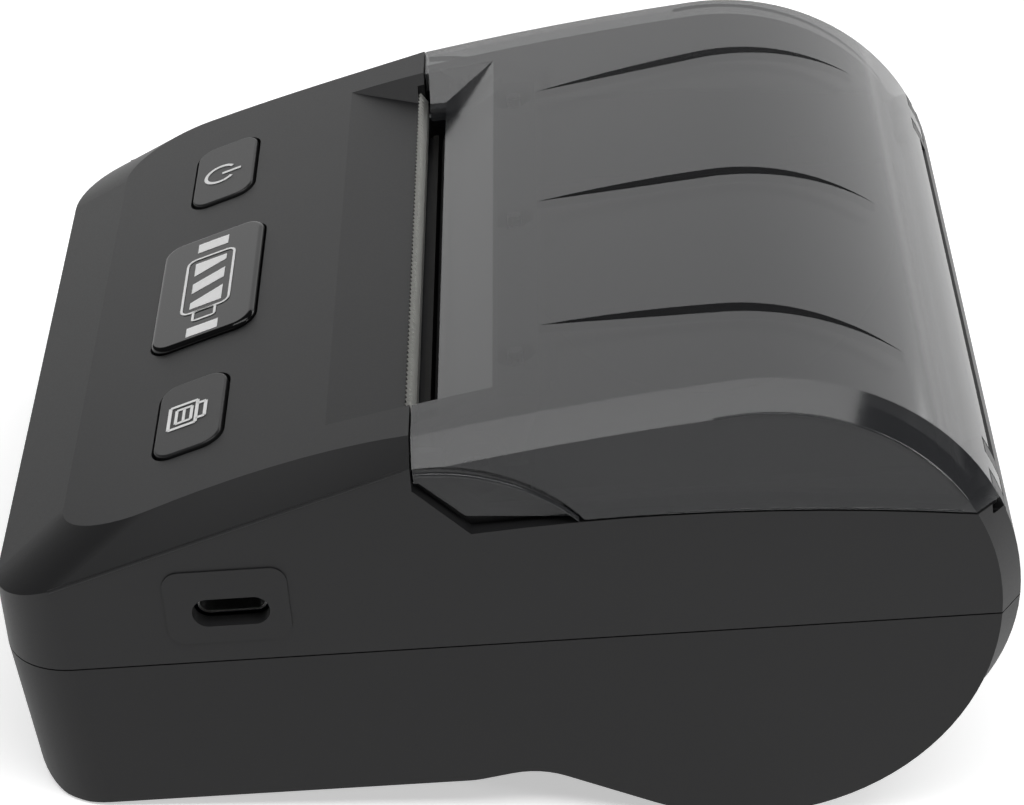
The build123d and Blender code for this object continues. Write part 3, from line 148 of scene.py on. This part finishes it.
@dataclass(frozen=True)
class Finish:
    """One finish: a common material and the way its surface was made."""

    name: str
    family: Family
    colour: str
    roughness: float
    specular: float = 0.5
    alpha: float = 1.0
    spread: float = 0.05
    grain_mm: float = 0.35
    bump_um: float = 6.0
    variation: float = 0.06

    def build(self) -> bpy.types.Material:
        """Makes the material.

        Returns:
            The finished material.
        """
        material = bpy.data.materials.new(self.name)
        material.use_nodes = True
        tree = material.node_tree
        shader = tree.nodes["Principled BSDF"]
        # The mean colour, as the eye takes it in from afar.
        shader.inputs["Base Color"].default_value = linear(self.colour)
        # How wide the lights' reflections spread: low on the lid and window, high on rubber.
        shader.inputs["Roughness"].default_value = self.roughness
        # Metals tint their reflections and show no body colour.
        shader.inputs["Metallic"].default_value = 1.0 if self.family is Family.METAL else 0.0
        # How strongly a plastic mirrors: lowered where the texture looks dry.
        shader.inputs["Specular IOR Level"].default_value = self.specular
        # Below one, the inside shows faintly, as through smoked plastic.
        shader.inputs["Alpha"].default_value = self.alpha
        spot = add_node(tree, "ShaderNodeTexCoord", {}, {}).outputs["Object"]
        self.add_drift(tree, shader, spot)
        self.add_grain(tree, shader, spot)
        return material

    def add_drift(self, tree: bpy.types.NodeTree, shader: bpy.types.Node, spot: bpy.types.NodeSocket) -> None:
        """Lets the colour drift a little from place to place, as moulding and handling leave it.

        Args:
            tree: the material's node tree.
            shader: its main shader.
            spot: the object coordinates.
        """
        base = linear(self.colour)[:3]
        low = tuple(c * (1 - self.variation) for c in base) + (1.0,)
        high = tuple(min(1.0, c * (1 + self.variation) + 0.001) for c in base) + (1.0,)
        patch = add_node(
            tree, "ShaderNodeTexNoise", {"Scale": 1.0 / (DRIFT_MM * MM), "Detail": 3.0}, {"Vector": spot}
        )
        # Sockets 0, 6 and 7 are the colour mix's factor and its two colours; output 2 is its colour.
        settings = {"data_type": "RGBA", 6: low, 7: high}
        tone = add_node(tree, "ShaderNodeMix", settings, {0: patch.outputs["Fac"]})
        tree.links.new(tone.outputs[2], shader.inputs["Base Color"])

    def add_grain(self, tree: bpy.types.NodeTree, shader: bpy.types.Node, spot: bpy.types.NodeSocket) -> None:
        """Adds the fine grain: uneven gloss, and a low relief where the surface isn't polished.

        Args:
            tree: the material's node tree.
            shader: its main shader.
            spot: the object coordinates.
        """
        stretch = METAL_GRAIN if self.family is Family.METAL else PLAIN_GRAIN
        mapping = add_node(tree, "ShaderNodeMapping", {"Scale": stretch}, {"Vector": spot})
        grain = add_node(
            tree,
            "ShaderNodeTexNoise",
            {"Scale": 1.0 / (self.grain_mm * MM), "Detail": 2.0, "Roughness": 0.6},
            {"Vector": mapping.outputs["Vector"]},
        )
        rough = add_node(
            tree,
            "ShaderNodeMapRange",
            {"To Min": self.roughness - self.spread, "To Max": self.roughness + self.spread},
            {"Value": grain.outputs["Fac"]},
        )
        tree.links.new(rough.outputs["Result"], shader.inputs["Roughness"])
        if self.family is Family.POLISHED:
            return
        bump = add_node(
            tree,
            "ShaderNodeBump",
            {"Strength": BUMP_STRENGTH, "Distance": self.bump_um * MICRON},
            {"Height": grain.outputs["Fac"]},
        )
        tree.links.new(bump.outputs["Normal"], shader.inputs["Normal"])


FINISHES = {
    # Soft charcoal with a fine spark-eroded texture and no gloss.
    "case_black": Finish(
        "abs_textured_upper", Family.MOULDED, "202021", 0.48,
        specular=0.3, grain_mm=0.3, bump_um=9, variation=0.05,
    ),
    # The same texture on the underside, a shade darker.
    "case_dark": Finish(
        "abs_textured_lower", Family.MOULDED, "1c1c1d", 0.5,
        specular=0.3, grain_mm=0.3, bump_um=9, variation=0.05,
    ),
    # Smoked and glossy: it mirrors the lights and lets a little of the inside through.
    "lid_smoke": Finish(
        "polycarbonate_smoked", Family.POLISHED, "2f3032", 0.13,
        alpha=0.74, spread=0.008, grain_mm=0.8, variation=0.03,
    ),
    # Satin keys, a little smoother than the panel round them.
    "key_black": Finish(
        "abs_satin_key", Family.MOULDED, "1c1c1d", 0.4, specular=0.32, grain_mm=0.25, bump_um=5
    ),
    # A black glossy dome under the battery symbol.
    "window": Finish(
        "acrylic_black_dome", Family.POLISHED, "0b0b0c", 0.1,
        specular=0.25, spread=0.008, grain_mm=0.8, variation=0.02,
    ),
    # A pale, softly ground cutting edge.
    "blade_steel": Finish("stainless_ground", Family.METAL, "ebebe6", 0.45, grain_mm=0.12, bump_um=2),
    # Bright ground shafts and pins.
    "steel": Finish("steel_ground", Family.METAL, "b8b9bb", 0.28, grain_mm=0.15, bump_um=2),
    # Plated screws, a little duller than the shafts.
    "screw_steel": Finish("steel_zinc_plated", Family.METAL, "a9abae", 0.34, grain_mm=0.2, bump_um=2),
    # The folded frame, with the drawn-out grain of rolled sheet.
    "sheet_steel": Finish("steel_sheet_rolled", Family.METAL, "b4b6b8", 0.36, grain_mm=0.3, bump_um=3),
    # The bright drawn shell of the port.
    "socket_steel": Finish("stainless_drawn", Family.METAL, "c9c9c9", 0.25, grain_mm=0.2, bump_um=2),
    # The motor's smooth plated can.
    "motor_shell": Finish("steel_can_plated", Family.METAL, "a2a4a8", 0.3, grain_mm=0.3, bump_um=2),
    # Yellow stamped contacts.
    "contact_brass": Finish("brass_stamped", Family.METAL, "c9a650", 0.3, grain_mm=0.3, bump_um=2),
    # A plate coloured near-black as painted shade, so that the slot over it stays dark.
    "head_aluminium": Finish(
        "aluminium_painted_shade_dark", Family.METAL, "1e1e20", 0.5, grain_mm=0.2, bump_um=3
    ),
    # The dark glaze of the heating strip.
    "head_ceramic": Finish(
        "ceramic_dark_glaze", Family.PLAIN, "191817", 0.6, specular=0.2, grain_mm=0.6, bump_um=1
    ),
    # Dull black rubber with a ground skin.
    "roller_rubber": Finish("nitrile_ground", Family.RUBBER, "1d1d1e", 0.7, grain_mm=0.25, bump_um=10),
    # Dark, slightly waxy gear wheels.
    "gear_white": Finish("acetal_dark", Family.PLAIN, "3a3a3c", 0.42, grain_mm=0.6, bump_um=2),
    # The satin carrier behind the lid's front edge.
    "bracket_black": Finish(
        "abs_satin_bracket", Family.MOULDED, "161617", 0.45, grain_mm=0.4, bump_um=5
    ),
    # The satin paper bay.
    "tub_black": Finish("abs_satin_tub", Family.MOULDED, "1c1c1d", 0.5, grain_mm=0.4, bump_um=6),
    # A green board with the mottle of its glass weave.
    "board_green": Finish(
        "epoxy_glass_board", Family.PLAIN, "1d4a2c", 0.4, grain_mm=0.8, bump_um=3, variation=0.12
    ),
    # Dull black chips.
    "chip_black": Finish("epoxy_moulded_chip", Family.PLAIN, "202022", 0.55, grain_mm=0.3, bump_um=3),
    # Black switch housings.
    "switch_black": Finish("nylon_black", Family.PLAIN, "232325", 0.5, grain_mm=0.3, bump_um=3),
    # Milky status lights.
    "light_white": Finish("silicone_white", Family.PLAIN, "e6e6df", 0.4, grain_mm=0.4, bump_um=1),
    # Blue shrink wrap with a soft gloss.
    "battery_wrap": Finish("pvc_shrink_wrap", Family.POLISHED, "243c78", 0.3, grain_mm=1.5),
}

# Pale screen-printed ink, and the matt white paper of the floor.
INK = Finish("ink_pale_grey", Family.PLAIN, "f0f0f0", 0.5, grain_mm=0.3, bump_um=0.5, variation=0.02)
FLOOR = Finish("paper_white_floor", Family.PLAIN, "f2f2f2", 0.9, grain_mm=5, bump_um=1, variation=0.005)


def place(x: float, u: float, v: float) -> Vector:
    """Takes a point from the case frame to the row frame.

    Args:
        x: across, in millimetres.
        u: distance back in the case frame, in millimetres.
        v: height in the case frame, in millimetres.

    Returns:
        The point in the row frame, in metres.
    """
    y = u * math.cos(LEAN) - v * math.sin(LEAN) + SHIFT_MM
    z = u * math.sin(LEAN) + v * math.cos(LEAN) + LIFT_MM
    return Vector((x, y, z)) * MM


def circle_through(start: Pair, middle: Pair, end: Pair) -> Triple:
    """Finds the circle through three points.

    Args:
        start: the first point.
        middle: the second point.
        end: the third point.

    Returns:
        The two coordinates of its middle, and its radius.
    """
    (ax, ay), (bx, by), (cx, cy) = start, middle, end
    d = 2 * (ax * (by - cy) + bx * (cy - ay) + cx * (ay - by))
    sa, sb, sc = ax * ax + ay * ay, bx * bx + by * by, cx * cx + cy * cy
    mx = (sa * (by - cy) + sb * (cy - ay) + sc * (ay - by)) / d
    my = (sa * (cx - bx) + sb * (ax - cx) + sc * (bx - ax)) / d
    return mx, my, math.hypot(ax - mx, ay - my)


def panel_matrix(x: float, u: float, proud: float) -> Matrix:
    """Gives a frame on the panel: X across, Y up the slope, Z out.

    Args:
        x: across, in millimetres.
        u: distance back in the case frame, in millimetres.
        proud: height above the panel, in millimetres.

    Returns:
        The frame as a matrix, in metres.
    """
    middle_u, middle_v, radius = circle_through(*PANEL_POINTS)
    v = middle_v + math.sqrt(radius**2 - (u - middle_u) ** 2)
    turn = math.asin((middle_u - u) / radius) + LEAN
    out = Vector((0, -math.sin(turn), math.cos(turn)))
    along = Vector((0, math.cos(turn), math.sin(turn)))
    matrix = Matrix((Vector((1, 0, 0)), along, out)).transposed().to_4x4()
    matrix.translation = place(x, u, v) + out * proud * MM
    return matrix


def settle(obj: bpy.types.Object, matrix: Matrix) -> None:
    """Moves a piece into place and leaves its object at the origin.

    Args:
        obj: the piece.
        matrix: where it goes.
    """
    obj.data.transform(matrix @ obj.matrix_world)
    obj.matrix_world = Matrix.Identity(4)
    obj.data.update()


def deselect() -> None:
    """Deselects everything before an operator runs."""
    bpy.ops.object.select_all(action="DESELECT")


def join(pieces: list[bpy.types.Object], name: str) -> bpy.types.Object:
    """Joins pieces into the first of them.

    Args:
        pieces: the pieces, at least one.
        name: the joined piece's name.

    Returns:
        The joined piece.
    """
    deselect()
    for piece in pieces:
        piece.select_set(True)
    bpy.context.view_layer.objects.active = pieces[0]
    if len(pieces) > 1:
        bpy.ops.object.join()
    made = bpy.context.active_object
    made.name = name
    return made


def flat_patch(corners: tuple[Pair, ...]) -> bpy.types.Object:
    """Makes one flat four-cornered patch of ink.

    Args:
        corners: its corners in millimetres, in order round it.

    Returns:
        The patch, in metres.
    """
    deselect()
    bpy.ops.mesh.primitive_plane_add(size=1)
    patch = bpy.context.active_object
    for vertex, corner in zip(patch.data.vertices, (corners[0], corners[1], corners[3], corners[2])):
        vertex.co = Vector((corner[0], corner[1], INK_HEIGHT_MM)) * MM
    return patch


@dataclass(frozen=True)
class Stroke:
    """A printed line of even width through some points of a small flat frame."""

    points: tuple[Pair, ...]
    width_mm: float
    closed: bool = False

    def mesh(self, name: str) -> bpy.types.Object:
        """Draws the line as a flat ribbon.

        Args:
            name: the piece's name.

        Returns:
            The mesh, in metres, flat in its own frame.
        """
        ends = self.points[1:] + self.points[:1] if self.closed else self.points[1:]
        patches = []
        for (ax, ay), (bx, by) in zip(self.points, ends):
            length = math.hypot(bx - ax, by - ay)
            nx, ny = -(by - ay) / length * self.width_mm / 2, (bx - ax) / length * self.width_mm / 2
            left, right = ((ax + nx, ay + ny), (bx + nx, by + ny)), ((bx - nx, by - ny), (ax - nx, ay - ny))
            patches.append(flat_patch(left + right))
        return join(patches, name)


def along_arc(middle: Pair, radius: float, first: float, last: float, steps: int) -> tuple[Pair, ...]:
    """Lays points along an arc.

    Args:
        middle: the arc's middle.
        radius: its radius.
        first: its first angle, in radians.
        last: its last angle, in radians.
        steps: how many chords it gets.

    Returns:
        The points, from first to last.
    """
    turns = [first + (last - first) * i / steps for i in range(steps + 1)]
    return tuple((middle[0] + radius * math.cos(t), middle[1] + radius * math.sin(t)) for t in turns)


def arc(middle: Pair, radius: float, start: float, end: float, steps: int) -> tuple[Pair, ...]:
    """Lays points along an arc that is given by angles.

    Args:
        middle: the arc's middle.
        radius: its radius.
        start: its first angle, in degrees.
        end: its last angle, in degrees.
        steps: how many chords it gets.

    Returns:
        The points, from first to last.
    """
    return along_arc(middle, radius, math.radians(start), math.radians(end), steps)


def arc_through(start: Pair, middle: Pair, end: Pair, steps: int = 28) -> tuple[Pair, ...]:
    """Lays points along the arc through three points.

    Args:
        start: its first point.
        middle: a point on the way.
        end: its last point.
        steps: how many chords it gets.

    Returns:
        The points, from first to last.
    """
    mx, my, radius = circle_through(start, middle, end)
    first = math.atan2(start[1] - my, start[0] - mx)
    last = math.atan2(end[1] - my, end[0] - mx)
    return along_arc((mx, my), radius, first, last, steps)


def rounded(middle: Pair, width: float, height: float, radius: float) -> tuple[Pair, ...]:
    """Lays points round a rounded rectangle.

    Args:
        middle: the rectangle's middle.
        width: its size across.
        height: its size up.
        radius: its corner radius.

    Returns:
        The points, in order round it.
    """
    (cx, cy), a, b = middle, width / 2 - radius, height / 2 - radius
    corners = ((cx + a, cy + b, 0), (cx - a, cy + b, 90), (cx - a, cy - b, 180), (cx + a, cy - b, 270))
    return tuple(p for x, y, start in corners for p in arc((x, y), radius, start, start + 90, 5))


def slanted(low: Pair, high: Pair) -> tuple[Pair, ...]:
    """Gives the corners of a bar of the battery symbol, whose ends slant.

    Args:
        low: where its lower edge starts and ends, across from the first bar's start.
        high: where its upper edge starts and ends.

    Returns:
        The four corners, in order round it.
    """
    left, half = -6.7, 2.4
    return ((left + low[0], -half), (left + low[1], -half), (left + high[1], half), (left + high[0], half))


@dataclass(frozen=True)
class Symbol:
    """A printed symbol: several strokes and patches on one carrier."""

    name: str
    body: str
    x: float
    u: float
    proud: float
    strokes: tuple[Stroke, ...]
    patches: tuple[tuple[Pair, ...], ...] = ()

    def thicken(self, made: bpy.types.Object) -> None:
        """Gives the flat ink its thin body, closed all round.

        Args:
            made: the flat ink.
        """
        body = made.modifiers.new("body", "SOLIDIFY")
        body.thickness = INK_BODY_MM * MM
        body.offset = -1.0
        deselect()
        made.select_set(True)
        bpy.context.view_layer.objects.active = made
        bpy.ops.object.modifier_apply(modifier="body")

    def build(self, ink: bpy.types.Material) -> None:
        """Draws the strokes, joins them and seats them on the carrier.

        Args:
            ink: the ink's material.
        """
        pieces = [stroke.mesh(f"{self.name}_{i}") for i, stroke in enumerate(self.strokes)]
        pieces += [flat_patch(corners) for corners in self.patches]
        made = join(pieces, self.name)
        self.thicken(made)
        settle(made, panel_matrix(self.x, self.u, self.proud))
        made.data.materials.clear()
        made.data.materials.append(ink)
        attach(made, self.body)
        log.info("symbol %s", self.name)


SYMBOLS = (
    Symbol(
        name="power_symbol",
        body="power_key",
        x=-32.9,
        u=KEY_U,
        proud=KEY_PROUD_MM,
        strokes=(Stroke(arc((0, 0), 2.35, 128, 412, 24), 0.55), Stroke(((0, 0.3), (0, 3.3)), 0.55)),
    ),
    Symbol(
        name="feed_symbol",
        body="feed_key",
        x=33.5,
        u=KEY_U,
        proud=KEY_PROUD_MM,
        strokes=(
            Stroke(((-2.7, -2.35), (2.7, -2.35), (2.7, 1.6), (-2.7, 1.6)), 0.5, True),
            Stroke(((-1.8, 1.6), (-1.8, 2.85), (1.8, 2.85), (1.8, 1.6)), 0.5),
            Stroke(((-1.6, -1.35), (1.6, -1.35), (1.6, 0.85), (-1.6, 0.85)), 0.45, True),
            Stroke(((-1.6, -0.25), (1.6, -0.25)), 0.42),
        ),
    ),
    Symbol(
        name="battery_symbol",
        body="base",
        x=0.0,
        u=-27.2,
        proud=WINDOW_PROUD_MM,
        strokes=(
            Stroke(rounded((-0.4, 0.0), 15.0, 7.2, 1.3), 0.38, True),
            Stroke(rounded((8.3, 0.0), 2.4, 3.3, 0.4), 0.38, True),
        ),
        patches=(
            ((-12.2, -2.35), (-9.8, -2.35), (-9.8, 2.35), (-12.2, 2.35)),
            ((11.1, -2.35), (13.4, -2.35), (13.4, 2.35), (11.1, 2.35)),
            slanted((0.0, 3.5), (0.0, 1.4)),
            slanted((5.7, 8.3), (3.7, 6.4)),
            slanted((10.9, 12.6), (8.6, 12.5)),
        ),
    ),
)


@dataclass(frozen=True)
class Bead:
    """A thin rounded edge of the skin that catches the light, made on both sides."""

    name: str
    body: str
    slot: str
    path: tuple[Pair, ...]
    radius_mm: float
    side_mm: float

    def build(self, side: int, finish: bpy.types.Material) -> None:
        """Sweeps a small ring along the path by extruding it step by step.

        Args:
            side: 1 for the near side, -1 for the far side.
            finish: the material of the skin under it.
        """
        path = [place(side * self.side_mm, u, v) for u, v in self.path]
        deselect()
        bpy.ops.mesh.primitive_circle_add(
            vertices=RING_SIDES, radius=self.radius_mm * MM, fill_type="NGON"
        )
        bead = bpy.context.active_object
        turn = Vector((0, 0, 1)).rotation_difference((path[1] - path[0]).normalized())
        bead.data.transform(Matrix.Translation(path[0]) @ turn.to_matrix().to_4x4() @ bead.matrix_world)
        bpy.ops.object.mode_set(mode="EDIT")
        bpy.ops.mesh.select_all(action="SELECT")
        for before, after in zip(path, path[1:]):
            bpy.ops.mesh.extrude_region_move(TRANSFORM_OT_translate={"value": after - before})
        bpy.ops.mesh.select_all(action="SELECT")
        bpy.ops.mesh.remove_doubles(threshold=MICRON)
        bpy.ops.mesh.normals_make_consistent(inside=False)
        bpy.ops.object.mode_set(mode="OBJECT")
        bead.name = self.name + ("_near" if side > 0 else "_far")
        bead.data.materials.append(finish)
        bpy.ops.object.shade_smooth_by_angle(angle=SMOOTH_ANGLE)
        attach(bead, self.body)
        log.info("bead %s", bead.name)


# The paths of the beads in the case frame: the rim of the lid's finger grip, the lid's rounded
# lower shoulder edge over the roll, the rounded bottom edge of the lid's side, and the rounded
# lower edge of the panel's border.
GRIP_PATH = arc_through((2.9, 52.75), (14.5, 50.6), (23.1, 44.7))
SHOULDER_PATH = arc((45.8, 28.2), 30.4, 100, 31, 60)
SKIRT_PATH = arc_through((34.0, 44.85), (55.0, 44.0), (71.3, 42.3))
BORDER_PATH = ((-45.0, 38.59), (-22.0, 45.97), (1.4, 53.49))
BEADS = (
    Bead("grip_rim", "lid", "lid_smoke", GRIP_PATH, 0.38, 57.95),
    Bead("shoulder_rim", "lid", "lid_smoke", SHOULDER_PATH, 0.24, 57.93),
    Bead("skirt_rim", "lid", "lid_smoke", SKIRT_PATH, 0.2, 57.93),
    Bead("border_rim", "base", "case_black", BORDER_PATH, 0.24, 57.9),
)


@dataclass(frozen=True)
class SoftLight:
    """A soft rectangular light, in metres; its face glows as brightly as stated, where 1 is white."""

    name: str
    at: Triple
    aim: Triple
    size: Pair
    glow: float

    def build(self) -> None:
        """Hangs the light and turns its face to its aim."""
        data = bpy.data.lights.new(self.name, "AREA")
        data.shape = "RECTANGLE"
        data.size, data.size_y = self.size
        data.energy = self.glow * math.pi * self.size[0] * self.size[1]
        lamp = bpy.data.objects.new(self.name, data)
        bpy.context.scene.collection.objects.link(lamp)
        back = (Vector(self.at) - Vector(self.aim)).normalized()
        side = Vector((0, 1, 0)).cross(back).normalized()
        matrix = Matrix((side, back.cross(side), back)).transposed().to_4x4()
        matrix.translation = Vector(self.at)
        lamp.matrix_world = matrix


# The main light over the near side, the wall that the lid and the panel mirror, the light from
# behind, and a small strong one for the line along the lid's shoulder.
LIGHTS = (
    SoftLight("top_strip", (0.39, 0.02, 1.0), (0.05, 0.02, 0.04), (0.45, 1.4), 4.05),
    SoftLight("far_wall", (-1.1, 0.1, 0.45), (0, 0, 0.2), (0.9, 2.0), 1.35),
    SoftLight("back_strip", (-0.5, 0.75, 0.28), (0, 0.04, 0.04), (0.5, 0.5), 3.5),
    SoftLight("edge_strip", (0.42, 0.9, 0.36), (0.05, 0.06, 0.05), (0.14, 0.24), 14.0),
)


@dataclass(frozen=True)
class Studio:
    """Floor, surround, lights and the camera of the photograph."""

    lens_mm: float = 119.61
    position_mm: Triple = (411.43, -5.779, 286.38)
    right: Triple = (0.0029846, 0.9997662, 0.0214155)
    up: Triple = (-0.5328679, -0.0165318, 0.8460369)
    back: Triple = (0.8461932, -0.0139367, 0.5326940)

    def camera(self) -> None:
        """Places the camera of the photograph."""
        data = bpy.data.cameras.new("camera")
        data.lens = self.lens_mm
        data.sensor_width = 36.0
        data.clip_start = 0.01
        data.clip_end = 20.0
        cam = bpy.data.objects.new("camera", data)
        bpy.context.scene.collection.objects.link(cam)
        matrix = Matrix((Vector(self.right), Vector(self.up), Vector(self.back))).transposed().to_4x4()
        matrix.translation = Vector(self.position_mm) * MM
        cam.matrix_world = matrix
        bpy.context.scene.camera = cam

    def floor(self) -> None:
        """Lays the flat pale floor, which glows where it is seen or mirrored but lights nothing."""
        deselect()
        bpy.ops.mesh.primitive_plane_add(size=FLOOR_SIDE_M, location=(0, 0, -FLOOR_DROP_M))
        ground = bpy.context.active_object
        ground.name = "floor"
        paper = FLOOR.build()
        tree = paper.node_tree
        rays = add_node(tree, "ShaderNodeLightPath", {}, {}).outputs
        greater = {"operation": "MAXIMUM"}
        seen = add_node(tree, "ShaderNodeMath", greater, {0: rays["Is Camera Ray"], 1: rays["Is Glossy Ray"]})
        both = add_node(
            tree, "ShaderNodeMath", greater, {0: seen.outputs[0], 1: rays["Is Transmission Ray"]}
        )
        times = {"operation": "MULTIPLY", 1: FLOOR_GLOW}
        glow = add_node(tree, "ShaderNodeMath", times, {0: both.outputs[0]})
        shader = tree.nodes["Principled BSDF"]
        # The paper looks evenly white, as under a bright room.
        shader.inputs["Emission Color"].default_value = WHITE
        tree.links.new(glow.outputs[0], shader.inputs["Emission Strength"])
        ground.data.materials.append(paper)

    def world(self) -> None:
        """Sets an even pale surround: dim as a light, white where the camera sees it."""
        world = bpy.data.worlds.new("surround")
        world.use_nodes = True
        tree = world.node_tree
        rays = add_node(tree, "ShaderNodeLightPath", {}, {}).outputs
        blend = {"operation": "MULTIPLY_ADD", 1: 1.0 - SURROUND_LIGHT, 2: SURROUND_LIGHT}
        seen = add_node(tree, "ShaderNodeMath", blend, {0: rays["Is Camera Ray"]})
        background = tree.nodes["Background"]
        # A neutral white, so that the surround tints nothing.
        background.inputs["Color"].default_value = WHITE
        tree.links.new(seen.outputs[0], background.inputs["Strength"])
        bpy.context.scene.world = world

    def build(self) -> None:
        """Sets up the whole studio."""
        self.camera()
        self.floor()
        self.world()
        for light in LIGHTS:
            light.build()
        scene = bpy.context.scene
        scene.view_settings.view_transform = "Standard"
        scene.view_settings.look = "None"
        scene.view_settings.exposure = 0.0


@dataclass
class Dresser:
    """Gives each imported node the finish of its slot."""

    made: dict[str, bpy.types.Material] = field(default_factory=dict)

    def finish(self, slot: str) -> bpy.types.Material:
        """Gives the material of a slot, made once.

        Args:
            slot: the slot's name in the record.

        Returns:
            The material.
        """
        if slot not in self.made:
            self.made[slot] = FINISHES[slot].build()
        return self.made[slot]

    def build(self, frame: dict) -> None:
        """Dresses the nodes.
        """
        for part in frame["record"]["subparts"]:
            node = frame["nodes"][part["node"]]
            material = self.finish(part["material_slot"])
            if not node.material_slots:
                node.data.materials.append(material)
            for slot in node.material_slots:
                slot.material = material
            log.info("dressed %s", part["node"])


def main() -> None:
    """Builds the scene in order."""
    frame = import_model()
    Studio().build()
    dresser = Dresser()
    dresser.build(frame)
    for bead in BEADS:
        for side in (1, -1):
            bead.build(side, dresser.finish(bead.slot))
    ink = INK.build()
    for symbol in SYMBOLS:
        symbol.build(ink)


if __name__ == "__main__":
    main()
